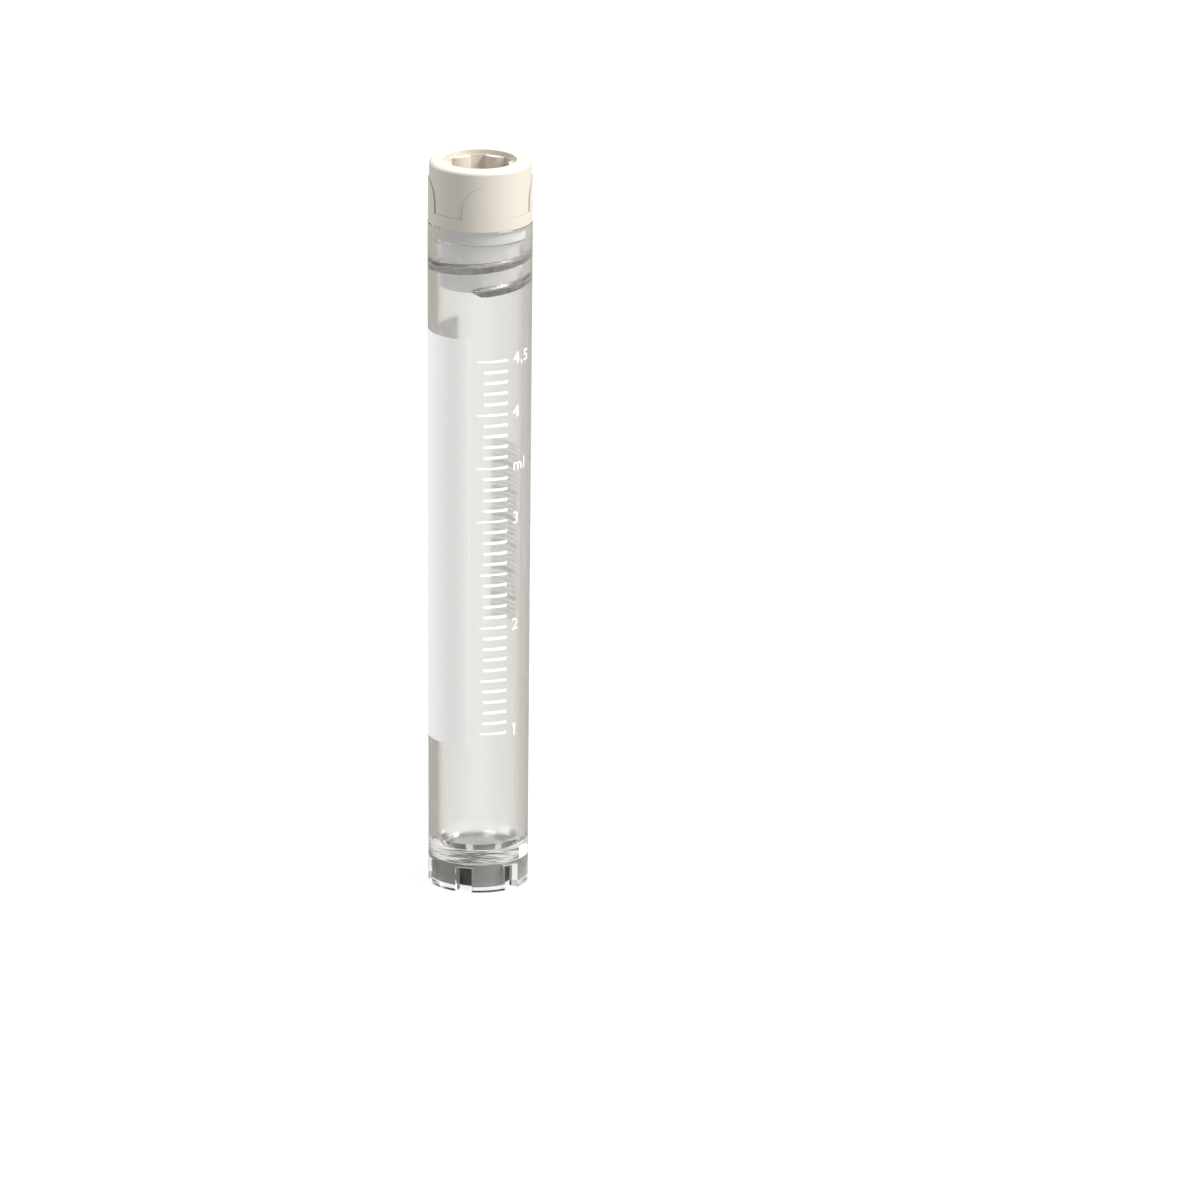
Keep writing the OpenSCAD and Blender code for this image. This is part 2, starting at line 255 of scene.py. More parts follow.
class Colours(bpy.types.PropertyGroup):
    tube: tint("Tube", "Clear plastic of the tube", 0.985, 0.985, 0.98)
    # Grey much lighter than the insert, painted on the pocket's wall: partly the insert behind it,
    # partly painted light
    lining: tint("Lining", "Pocket's wall, where the insert shines through", 0.30, 0.30, 0.29)
    # The groove's lower side is an opaque grey mirror: painted shade for the dark band that light
    # reflected inside the clear wall gives
    groove_painted_shade: tint("Groove side", "Lower side of the thread groove", 0.55, 0.55, 0.545)
    insert: tint("Insert", "Plastic of the code insert", 0.05, 0.05, 0.047)
    # The insert's hidden back, near black plastic, is painted: a light disc, a darker rim as
    # painted shade, and painted light on the rim beside the notches
    back: tint("Insert's back", "Hidden back of the insert", 0.8, 0.8, 0.79)
    back_rim_painted_shade: tint("Back's rim", "Rim of the insert's back", 0.2, 0.2, 0.195)
    back_rim_painted_light: tint("Lit rim", "The same rim beside the notches", 0.95, 0.95, 0.94)
    patch: tint("Patch", "Square under the code", 0.82, 0.81, 0.79)
    code: tint("Code", "Cells of the code", 0.05, 0.05, 0.05)
    cap: tint("Cap", "Ivory plastic of the cap", 0.545, 0.512, 0.458)
    # Darker ivory painted on the arches' sides and the band's top edge: painted shade for the
    # creases
    arch_edge_painted_shade: tint("Arch edges", "Shaded sides of the arches", 0.3, 0.28, 0.25)
    plug: tint("Plug", "Plug of the cap", 0.87, 0.865, 0.845)
    seal: tint("Seal ring", "Silicone of the seal ring", 0.85, 0.85, 0.835)
    ink: tint("Ink", "White ink of the printing", 0.97, 0.965, 0.945)


# Modelling steps


def start_piece():
    """Leaves edit mode and deselects everything, so that an operator acts on new geometry only."""
    if bpy.context.object and bpy.context.object.mode != "OBJECT":
        bpy.ops.object.mode_set(mode="OBJECT")
    bpy.ops.object.select_all(action="DESELECT")


def draw_outline(name, points):
    """An open chain of edges through points, each (radius, height), in the XZ plane."""
    start_piece()
    first = Vector((points[0][0], 0, points[0][1]))
    bpy.ops.mesh.primitive_plane_add(size=MM, location=first, enter_editmode=True)
    bpy.ops.mesh.merge(type="CENTER")
    for (r0, z0), (r1, z1) in zip(points, points[1:]):
        bpy.ops.mesh.extrude_region_move(
            TRANSFORM_OT_translate={"value": (r1 - r0, 0, z1 - z0)}
        )
    piece = bpy.context.object
    piece.name = piece.data.name = name
    return piece


def settle():
    """Leaves edit mode and moves the active piece's place into its mesh."""
    bpy.ops.object.mode_set(mode="OBJECT")
    bpy.ops.object.transform_apply(location=True, rotation=True, scale=True)
    return bpy.context.object


def face_outwards():
    """Turns all faces of the mesh in edit mode outwards."""
    bpy.ops.mesh.select_all(action="SELECT")
    bpy.ops.mesh.normals_make_consistent(inside=False)


def close_up():
    """Merges the doubled points of the mesh in edit mode and turns its faces outwards."""
    bpy.ops.mesh.select_all(action="SELECT")
    bpy.ops.mesh.remove_doubles(threshold=MERGE)
    face_outwards()


def lathe(name, points, steps):
    """A solid of revolution about Z from an outline that is closed or ends on the axis."""
    draw_outline(name, points)
    bpy.ops.mesh.select_all(action="SELECT")
    bpy.ops.mesh.spin(steps=steps, angle=2 * math.pi, center=(0, 0, 0), axis=(0, 0, 1))
    close_up()
    return settle()


def pick(*pieces):
    """Selects only these pieces and makes the first one active."""
    start_piece()
    for piece in pieces:
        piece.select_set(True)
    bpy.context.view_layer.objects.active = pieces[0]
    return pieces[0]


def join(pieces):
    """Joins pieces to the first one, with their places in its mesh."""
    piece = pick(*pieces)
    bpy.ops.object.join()
    bpy.ops.object.transform_apply(location=True, rotation=True, scale=True)
    return piece


def finish_with(piece, kind, **settings):
    """Adds a modifier to a piece and applies it."""
    pick(piece)
    modifier = piece.modifiers.new(kind.lower(), kind)
    for name, value in settings.items():
        setattr(modifier, name, value)
    bpy.ops.object.modifier_apply(modifier=modifier.name)
    return piece


def combine(piece, tool, operation):
    """Cuts, joins or trims a piece by a tool solid, which is used up."""
    finish_with(piece, "BOOLEAN", object=tool, operation=operation, solver="EXACT")
    bpy.data.objects.remove(tool)
    return piece


def mend(piece):
    """Merges the doubled points that a boolean leaves where two outlines cross."""
    pick(piece)
    bpy.ops.object.mode_set(mode="EDIT")
    bpy.ops.mesh.select_all(action="SELECT")
    bpy.ops.mesh.remove_doubles(threshold=0.005 * MM)
    bpy.ops.mesh.dissolve_degenerate(threshold=0.002 * MM)
    bpy.ops.object.mode_set(mode="OBJECT")
    return piece


def soften(piece, width, sharp=40, segments=3):
    """Small round edges wherever two faces meet at more than sharp degrees."""
    finish_with(
        piece,
        "BEVEL",
        width=width,
        segments=segments,
        limit_method="ANGLE",
        angle_limit=math.radians(sharp),
        use_clamp_overlap=True,
        miter_outer="MITER_ARC",
    )
    return piece


def enlarge(piece, factor):
    """Scales a piece's mesh about the origin."""
    pick(piece)
    piece.scale = (factor,) * 3
    bpy.ops.object.transform_apply(location=True, rotation=True, scale=True)


def smooth(piece, sharp=28):
    """Smooth shading, except over edges of more than sharp degrees. Large faces keep their
    normals, which takes a mesh in millimetres: the weighting passes over smaller faces."""
    pick(piece)
    bpy.ops.object.shade_smooth_by_angle(angle=math.radians(sharp))
    enlarge(piece, 1 / MM)
    finish_with(piece, "WEIGHTED_NORMAL", keep_sharp=True, weight=50)
    enlarge(piece, MM)
    return piece


def repeat_round(piece, count):
    """Copies a piece evenly round the axis and joins the copies."""
    copies = [pick(piece)]
    for _ in range(1, count):
        bpy.ops.object.duplicate()
        copy = bpy.context.object
        copy.matrix_world = Matrix.Rotation(2 * math.pi / count, 4, "Z") @ copy.matrix_world
        copies.append(copy)
    return join(copies)


def draw_face(name, points):
    """A flat face in the XZ plane from a closed outline of (radius, height) points."""
    piece = draw_outline(name, points)
    bpy.ops.mesh.select_all(action="SELECT")
    bpy.ops.mesh.edge_face_add()
    bpy.ops.mesh.select_all(action="SELECT")
    return piece


def turn_selected(turn):
    """Turns what is selected in edit mode about Z, anticlockwise from above."""
    bpy.ops.transform.rotate(value=-turn, orient_axis="Z", center_override=(0, 0, 0))


def extrude_in_place():
    """Extrudes what is selected in edit mode, without a move."""
    bpy.ops.mesh.extrude_region_move(TRANSFORM_OT_translate={"value": (0, 0, 0)})


def helix(name, section, start_angle, start_turn, turns, pitch, steps_per_turn, share=None):
    """A solid drawn from a section along a helix. A section is its pivot and its outline, and
    share(turn) gives its size, by which it shrinks towards the pivot."""
    pivot, outline = section
    draw_face(name, outline)
    count = round(turns * steps_per_turn)
    turn_selected(start_angle + 2 * math.pi * start_turn)
    bpy.ops.transform.translate(value=(0, 0, pitch * start_turn))
    sizes = [share(i / steps_per_turn) if share else 1 for i in range(count + 1)]
    for i, size in enumerate(sizes):
        if i > 0:
            bpy.ops.mesh.extrude_region_move(
                TRANSFORM_OT_translate={"value": (0, 0, pitch / steps_per_turn)}
            )
            turn_selected(2 * math.pi / steps_per_turn)
        factor = size / sizes[i - 1] if i > 0 else size
        if factor != 1:
            turn = start_turn + i / steps_per_turn
            at = start_angle + 2 * math.pi * turn
            centre = (pivot[0] * math.cos(at), pivot[0] * math.sin(at), pivot[1] + pitch * turn)
            bpy.ops.transform.resize(value=(factor,) * 3, center_override=centre)
    face_outwards()
    return settle()


def arc(centre, radius, start, end, steps):
    """Points on an arc round centre, from angle start to end, in degrees."""
    turns = [math.radians(start + (end - start) * i / steps) for i in range(steps + 1)]
    return [(centre[0] + radius * math.cos(a), centre[1] + radius * math.sin(a)) for a in turns]


# Shader maths


class Value:
    """A socket that carries a number. Arithmetic on it adds Math nodes."""

    def __init__(self, shader, socket):
        self.shader = shader
        self.socket = socket

    def math(self, operation, *others):
        return self.shader.math(operation, self, *others)

    def __add__(self, other):
        return self.math("ADD", other)

    __radd__ = __add__

    def __mul__(self, other):
        return self.math("MULTIPLY", other)

    __rmul__ = __mul__

    def __sub__(self, other):
        return self.math("SUBTRACT", other)

    def __rsub__(self, other):
        return self.shader.math("SUBTRACT", other, self)

    def __truediv__(self, other):
        return self.math("DIVIDE", other)

    def __gt__(self, other):
        return self.math("GREATER_THAN", other)

    def __lt__(self, other):
        return self.math("LESS_THAN", other)

    def between(self, low, high):
        """0 up to low and 1 from high, with a smooth rise."""
        rise = self.shader.node(
            "ShaderNodeMapRange",
            {"interpolation_type": "SMOOTHSTEP"},
            {"Value": self, "From Min": low, "From Max": high},
        )
        return Value(self.shader, rise.outputs["Result"])


class Shader:
    """A node tree that is being filled in."""

    def __init__(self, owner):
        owner.use_nodes = True
        self.tree = owner.node_tree
        self.tree.nodes.clear()

    def node(self, kind, settings=None, inputs=None):
        """Adds a node: first its settings, then the values or links of its sockets."""
        made = self.tree.nodes.new(kind)
        for name, value in (settings or {}).items():
            setattr(made, name, value)
        for name, value in (inputs or {}).items():
            self.feed(made.inputs[name], value)
        return made

    def feed(self, socket, value):
        """Links an output or a Value to a socket, or sets the socket to a plain value."""
        if isinstance(value, Value):
            value = value.socket
        if isinstance(value, bpy.types.NodeSocket):
            self.tree.links.new(value, socket)
        else:
            socket.default_value = value

    def math(self, operation, *values):
        """A Math node on numbers and Values."""
        made = self.node("ShaderNodeMath", {"operation": operation}, dict(enumerate(values)))
        return Value(self, made.outputs[0])

    def mix(self, share, first, second):
        """A mix of two colours by share of the second."""
        made = self.node(
            "ShaderNodeMix", {"data_type": "RGBA"}, {"Factor": share, "A": first, "B": second}
        )
        return made.outputs["Result"]

    def place(self):
        """Where a point lies on the piece."""
        return self.node("ShaderNodeTexCoord").outputs["Object"]

    def axes(self, vector):
        """The three numbers of a vector."""
        split = self.node("ShaderNodeSeparateXYZ", None, {"Vector": vector})
        return [Value(self, output) for output in split.outputs]

    def cover(self, colour, roughness, **more):
        """Ends a material with a Principled surface."""
        inputs = {"Base Color": colour, "Roughness": roughness, **more}
        surface = self.node("ShaderNodeBsdfPrincipled", None, inputs)
        self.node("ShaderNodeOutputMaterial", None, {"Surface": surface.outputs[0]})


def opaque(colour):
    """A colour with full alpha."""
    return (*colour, 1)


def plastic(name, colour, roughness, **more):
    """A Principled material whose sockets have plain values."""
    material = bpy.data.materials.new(name)
    Shader(material).cover(opaque(colour), roughness, **more)
    return material


def clear_plastic(name, colour, roughness, waves=None, **more):
    """A clear material that lets the lamps' light through to what is inside. Waves have a
    width and a height."""
    material = bpy.data.materials.new(name)
    shader = Shader(material)
    inputs = {
        "Base Color": opaque(colour),
        "Roughness": roughness,
        "Transmission Weight": 1.0,
        "IOR": 1.49,
        **more,
    }
    if waves:
        width, height = waves
        where = {"Vector": shader.place(), "Scale": 1 / width}
        noise = shader.node("ShaderNodeTexNoise", None, where)
        rise = {"Height": noise.outputs[0], "Distance": height}
        inputs["Normal"] = shader.node("ShaderNodeBump", None, rise).outputs[0]
    surface = shader.node("ShaderNodeBsdfPrincipled", None, inputs)
    passing = shader.node("ShaderNodeBsdfTransparent", None, {"Color": PASSING})
    path = shader.node("ShaderNodeLightPath")
    choice = {0: path.outputs["Is Shadow Ray"], 1: surface.outputs[0], 2: passing.outputs[0]}
    mix = shader.node("ShaderNodeMixShader", None, choice)
    shader.node("ShaderNodeOutputMaterial", None, {"Surface": mix.outputs[0]})
    return material


def dress(piece, *materials):
    """Gives a piece its materials."""
    piece.data.materials.clear()
    for material in materials:
        piece.data.materials.append(material)


def paint(piece, index, wanted):
    """Gives material number index to the faces whose middle, radius and normal pass the test."""
    for face in piece.data.polygons:
        if wanted(face.center, face.center.xy.length, face.normal):
            face.material_index = index


# Pieces


class TubeForm:
    """Sizes of the tube that follow from its settings, and sections of its thread."""

    def __init__(self, scene):
        self.tube = scene.cryovial_tube
        self.foot = scene.cryovial_foot
        self.thread = scene.cryovial_thread
        self.height = TUBE_TOP
        self.seat_height = self.height - self.tube.seat_depth
        self.thread_height = self.height - self.thread.start_depth

    def wall_radius(self, height):
        tube = self.tube
        rise = (height - tube.foot_height) / (self.height - tube.foot_height)
        return tube.foot_radius + (tube.rim_radius - tube.foot_radius) * rise

    def bore_radius(self, height):
        return self.wall_radius(height) - self.tube.wall

    @property
    def ridge_radius(self):
        return self.tube.seat_radius - 2 * self.thread.gap

    def ridge_section(self, root, gap):
        """Outline of the plug's ridge from root outwards, grown by gap on each side."""
        width = self.thread.ridge_width
        tip = self.ridge_radius + gap
        middle = self.thread_height
        outline = (
            (root, middle - width / 2 - gap),
            (tip, middle - width / 4 - gap),
            (tip, middle + width / 4 + gap),
            (root, middle + width / 2 + gap),
        )
        return (root, middle), outline

    def groove_section(self):
        """Outline of the full groove from inside the bore outwards."""
        thread = self.thread
        pivot = self.bore_radius(self.thread_height) - thread.groove_depth
        reach = 2 * thread.groove_depth
        half = thread.groove_width / 2
        middle = self.thread_height
        outline = (
            (pivot, middle - half - 2 * thread.lower_flank),
            (pivot + reach, middle - half),
            (pivot + reach, middle + half),
            (pivot, middle + half + 2 * thread.upper_flank),
        )
        return (pivot, middle), outline


class CRYOVIAL_OT_tube(bpy.types.Operator):
    """Models the clear tube"""

    bl_idname = "cryovial.tube"
    bl_label = "Tube"

    def execute(self, context):
        sizes = TubeForm(context.scene)
        piece = lathe("clear_tube", self.outline(sizes), WALL_STEPS)
        combine(piece, self.notches(sizes), "DIFFERENCE")
        soften(piece, 0.035 * MM)
        combine(piece, self.groove(sizes), "DIFFERENCE")
        combine(piece, self.entry(sizes), "DIFFERENCE")
        smooth(piece)
        self.finish(piece, sizes, context.scene.cryovial_colours)
        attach(piece, "vial")
        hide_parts("tube")
        return {"FINISHED"}

    def finish(self, piece, sizes, colours):
        """A glossy outside, a slightly matt bore and a grey lining in the pocket. The lining is
        partly the insert seen through the wall and partly painted light, far lighter than the
        insert.
        """
        tube, clear = sizes.tube, colours.tube
        dress(
            piece,
            clear_plastic("clear_plastic", clear, 0.0),
            clear_plastic("clear_bore", clear, 0.19),
            # The pocket's wall: the insert behind it, painted lighter as painted light
            plastic("pocket_lining_painted_light", colours.lining, 0.6, Metallic=0.3),
            # The groove's upper side has its reflections dimmed by a grey tint, and its lower side
            # is an opaque grey mirror: painted shade for the dark band of the thread
            clear_plastic("clear_groove", clear, 0.08, **{"Specular Tint": opaque((0.2,) * 3)}),
            plastic("groove_painted_shade", colours.groove_painted_shade, 0.07, Metallic=1.0),
            clear_plastic("clear_bottom", clear, 0.0, waves=(2.2 * MM, 0.04 * MM)),
        )
        # The groove's faces lie between these heights, and at least so deep in the wall
        low, high = sizes.thread_height - 1.5 * MM, sizes.seat_height - 0.05 * MM
        depth = 0.3 * MM
        ceiling = tube.pocket_height

        def bore(at, radius, normal):
            return at.z > tube.cone_height and radius < sizes.bore_radius(at.z) + NEAR / 2

        def pocket(at, radius, normal):
            inside = radius < tube.pocket_radius + NEAR
            return inside and tube.lining_start < at.z < ceiling - 0.1 * MM

        def groove(at, radius, normal):
            wall = sizes.bore_radius(at.z) + NEAR < radius < sizes.wall_radius(at.z) - depth
            return wall and low < at.z < high

        # Faces of the groove's lower side, which get the painted shade
        def lower_side(at, radius, normal):
            return groove(at, radius, normal) and normal.z > 0.2

        def bottom(at, radius, normal):
            return radius < tube.pocket_radius and abs(at.z - ceiling) < NEAR

        for index, wanted in enumerate((bore, pocket, groove, lower_side, bottom), 1):
            paint(piece, index, wanted)

    def outline(self, sizes):
        """From the chamber's floor up the bore, over the rim and down to the pocket."""
        tube = sizes.tube
        floor, edge, curve = tube.floor_height, tube.floor_radius, tube.floor_round
        cone_radius = sizes.bore_radius(tube.cone_height)
        slope = math.atan2(tube.cone_height - floor, cone_radius - edge)
        centre = (edge - curve * math.tan(slope / 2), floor + curve)
        rim, top = tube.rim_round, sizes.height
        below_thread = sizes.thread_height - 2 * MM
        return [
            (0, floor),
            *arc(centre, curve, -90, math.degrees(slope) - 90, 12),
            (cone_radius, tube.cone_height),
            (sizes.bore_radius(below_thread), below_thread),
            (sizes.bore_radius(sizes.seat_height), sizes.seat_height),
            (tube.seat_radius, sizes.seat_height),
            *arc((tube.seat_radius + rim, top - rim), rim, 180, 90, 5),
            *arc((tube.rim_radius - rim, top - rim), rim, 90, 0, 5),
            (tube.foot_radius, tube.foot_height),
            (tube.foot_radius, 0),
            (tube.pocket_radius, 0),
            (tube.pocket_radius, tube.lining_start),
            (tube.pocket_radius, tube.pocket_height),
            (0, tube.pocket_height),
        ]

    def notches(self, sizes):
        """Wedges with radial sides that cut the star foot's notches."""
        foot, steps = sizes.foot, 6
        inner, outer = sizes.tube.pocket_radius - MM, sizes.tube.foot_radius + MM
        low, high = -MM, foot.notch_height
        draw_face("notch_tool", [(inner, low), (outer, low), (outer, high), (inner, high)])
        turn_selected(FRONT + foot.first_notch - foot.notch_angle / 2)
        for _ in range(steps):
            extrude_in_place()
            turn_selected(foot.notch_angle / steps)
        face_outwards()
        return repeat_round(settle(), foot.notches)

    def groove(self, sizes):
        """The thread's groove, which runs out gently at both ends."""
        thread = sizes.thread
        fade = thread.runout / (2 * math.pi)

        def share(turn):
            rise = max(0.02, min(1, turn / fade, (thread.turns - turn) / fade))
            return 0.5 + 0.5 * math.sin(rise * math.pi / 2)

        start, section = FRONT + thread.start_angle, sizes.groove_section()
        turns, pitch = thread.turns, thread.pitch
        return helix("groove_tool", section, start, 0, turns, pitch, THREAD_STEPS, share)

    def entry(self, sizes):
        """The way by which the plug's ridge enters the groove from the seat."""
        thread = sizes.thread
        rise = sizes.seat_height - sizes.thread_height + thread.ridge_width
        pitch, start = thread.pitch, FRONT + thread.start_angle
        section = sizes.ridge_section(sizes.tube.seat_radius - MM, thread.gap)
        return helix("entry_tool", section, start, 1, rise / pitch - 1, pitch, THREAD_STEPS)


class CRYOVIAL_OT_cap(bpy.types.Operator):
    """Models the screw cap with its socket, arches and plug"""

    bl_idname = "cryovial.cap"
    bl_label = "Screw cap"

    def execute(self, context):
        cap, colours = context.scene.cryovial_cap, context.scene.cryovial_colours
        sizes = TubeForm(context.scene)
        piece = lathe("lobed_cap", self.outline(cap, sizes), CAP_STEPS)
        mend(combine(piece, self.ribs(cap), "UNION"))
        mend(soften(piece, 0.05 * MM))
        combine(piece, self.ridge(cap, sizes), "UNION")
        smooth(piece)
        ivory = plastic("cap_plastic", colours.cap, 0.5)
        dress(piece, ivory, plastic("plug_plastic", colours.plug, 0.5, **WITHIN))
        paint(piece, 1, lambda at, radius, normal: at.z < sizes.height - 0.1 * MM)
        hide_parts("screw_cap")
        skirt = self.skirt(cap, sizes)
        # Faces that do not face outwards, the steps beside the arches and on the band, get painted
        # shade
        dress(skirt, ivory, plastic("arch_edge_painted_shade", colours.arch_edge_painted_shade, 0.6))
        paint(skirt, 1, lambda at, radius, normal: normal.xy.dot(at.xy) < 0.85 * radius)
        for part in (piece, skirt):
            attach(part, "cap")
        return {"FINISHED"}

    def outline(self, cap, sizes):
        """From the socket's floor over the top and down the plug to the dish in its end."""
        top, under, plug_end = CAP_HIGH.z, sizes.height + cap.seat_gap, CAP_LOW.z
        ledge, bottom = top - cap.lip_depth, top - cap.socket_depth
        curve = (cap.dish_radius**2 + cap.dish_depth**2) / (2 * cap.dish_depth)
        half = math.degrees(math.asin(cap.dish_radius / curve))
        return [
            (0, bottom),
            (cap.lobe_radius, bottom),
            (cap.lobe_radius, ledge),
            (cap.lip_radius, ledge),
            (cap.lip_radius, top),
            *arc((cap.body_radius - cap.top_round, top - cap.top_round), cap.top_round, 90, 0, 12),
            (cap.body_radius, under),
            (cap.plug_radius, under),
            (cap.plug_radius, plug_end),
            *arc((0, plug_end + cap.dish_depth - curve), curve, 90 - half, 90, 12),
        ]

    def skirt(self, cap, sizes):
        """The lower band with its raised arches, drawn round the cap's body as one ring."""
        under = sizes.height + cap.seat_gap
        outer, inner = cap.band_radius, cap.body_radius - 0.1 * MM
        low, half = cap.band_height, cap.band_radius * cap.arch_angle / 2
        foot = low + cap.arch_height - half
        # Steps of the band between two arches, and of an arch between its two slopes
        between, across = 40, 48
        gap = 2 * math.pi / cap.arches - cap.arch_angle
        side = cap.arch_side / outer
        part = (cap.arch_angle - 2 * side) / across
        curve = [math.sqrt(1 - (1 - 2 * i / across) ** 2) for i in range(1, across)]
        steps = [(gap / between, low)] * between + [(side, foot)]
        steps += [(part, foot + half * rise) for rise in curve] + [(part, foot), (side, low)]
        top = under + low
        loop = [(inner, under), (outer, under), (outer, top), (inner, top), (inner, under)]
        draw_outline("cap_skirt", loop)
        bpy.ops.mesh.select_all(action="SELECT")
        bpy.ops.mesh.remove_doubles(threshold=MERGE)
        turn_selected(FRONT + cap.first_arch + cap.arch_angle / 2)
        height = low
        for turn, rise in steps * cap.arches:
            extrude_in_place()
            turn_selected(turn)
            stretch = (1, 1, rise / height)
            bpy.ops.transform.resize(value=stretch, center_override=(0, 0, under))
            height = rise
        close_up()
        return smooth(soften(settle(), 0.03 * MM, segments=2))

    def ribs(self, cap):
        """Round ribs that stand between the socket's lobes."""
        sink, into_wall = 0.2 * MM, 0.3 * MM
        top, bottom = CAP_HIGH.z - cap.lip_depth, CAP_HIGH.z - cap.socket_depth - sink
        at = FRONT + cap.first_rib
        reach = cap.rib_reach + cap.rib_radius
        start_piece()
        bpy.ops.mesh.primitive_cylinder_add(
            vertices=128,
            radius=cap.rib_radius,
            depth=top - bottom,
            location=(reach * math.cos(at), reach * math.sin(at), (top + bottom) / 2),
        )
        ribs = repeat_round(settle(), cap.lobes)
        start_piece()
        bpy.ops.mesh.primitive_cylinder_add(
            vertices=CAP_STEPS,
            radius=cap.lobe_radius + into_wall,
            depth=40 * MM,
            location=(0, 0, top),
        )
        return combine(ribs, bpy.context.object, "INTERSECT")

    def ridge(self, cap, sizes):
        """The plug's thread ridge, sunk a little in the plug."""
        thread = sizes.thread
        section = sizes.ridge_section(cap.plug_radius - 0.1 * MM, 0)
        start, first = FRONT + thread.start_angle, thread.runout / (2 * math.pi)
        turns, pitch = thread.ridge_turns, thread.pitch
        return helix("ridge", section, start, first, turns, pitch, THREAD_STEPS)


class CRYOVIAL_OT_insert(bpy.types.Operator):
    """Models the dark insert in the star foot and finishes its code patch"""

    bl_idname = "cryovial.insert"
    bl_label = "Code insert"

    def execute(self, context):
        insert, colours = context.scene.cryovial_insert, context.scene.cryovial_colours
        piece = lathe("dark_insert", self.outline(insert), CAP_STEPS)
        soften(piece, 0.05 * MM)
        smooth(piece)
        back = self.back(context.scene.cryovial_foot, insert, colours)
        dress(piece, plastic("insert_plastic", colours.insert, 0.5), back)
        paint(piece, 1, lambda at, radius, normal: at.z > insert.top - NEAR / 2)
        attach(piece, "vial")
        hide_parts("code_insert")
        dress(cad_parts["code_patch"], self.code(insert, colours))
        return {"FINISHED"}

    def outline(self, insert):
        """From the middle of the face up the flange and the side to the top."""
        face, side = insert.face_radius, insert.flange_radius
        low, flange = insert.face_height, insert.face_height + insert.face_rise
        grip, top = insert.grip_height, insert.top
        return [
            (0, low),
            (face - insert.chamfer, low),
            (face, low + insert.chamfer),
            (face, flange),
            (side, flange),
            (side, grip),
            (insert.grip_radius, grip),
            (insert.grip_radius, grip + insert.grip_width),
            (side, grip + insert.grip_width),
            (side, top),
            (0, top),
        ]

    def back(self, foot, insert, colours):
        """Painted light and shade on the insert's hidden back: a light disc with a dark rim,
        painted lighter where the notches let light in.
        """
        material = bpy.data.materials.new("insert_back_painted_light")
        shader = Shader(material)
        x, y, _ = shader.axes(shader.place())
        # Painted light on the rim in line with each notch
        turn = (y.math("ARCTAN2", x) - FRONT - foot.first_notch) / (2 * math.pi / foot.notches)
        lit = ((turn + 0.5).math("FLOORED_MODULO", 1) - 0.5).math("ABSOLUTE") < insert.painted_light_share
        radius = (x * x + y * y).math("SQRT")
        rim = shader.mix(lit, opaque(colours.back_rim_painted_shade), opaque(colours.back_rim_painted_light))
        shader.cover(shader.mix(radius < insert.painted_disc_radius, rim, opaque(colours.back)), 0.5)
        return material

    def code(self, insert, colours):
        """Dark cells by a plain rule on a white square. They encode nothing."""
        material = bpy.data.materials.new("code_ink")
        shader = Shader(material)
        turned = shader.node(
            "ShaderNodeMapping",
            {"vector_type": "POINT"},
            {"Vector": shader.place(), "Rotation": (0, 0, -insert.patch_turn)},
        )
        x, y, _ = shader.axes(turned.outputs[0])
        cells, half, seed = insert.cells, insert.code_width / 2, 7.0
        cell = insert.code_width / cells
        column, row = (((side / cell) + cells / 2).math("FLOOR") for side in (x, y))
        draw = shader.node("ShaderNodeCombineXYZ", None, {"X": column, "Y": row, "Z": seed})
        chance = shader.node(
            "ShaderNodeTexWhiteNoise", {"noise_dimensions": "3D"}, {"Vector": draw.outputs[0]}
        )
        dark = Value(shader, chance.outputs["Value"]) > 0.5
        dark = dark * (x.math("ABSOLUTE") < half) * (y.math("ABSOLUTE") < half)
        shader.cover(shader.mix(dark, opaque(colours.patch), opaque(colours.code)), 0.6)
        return material


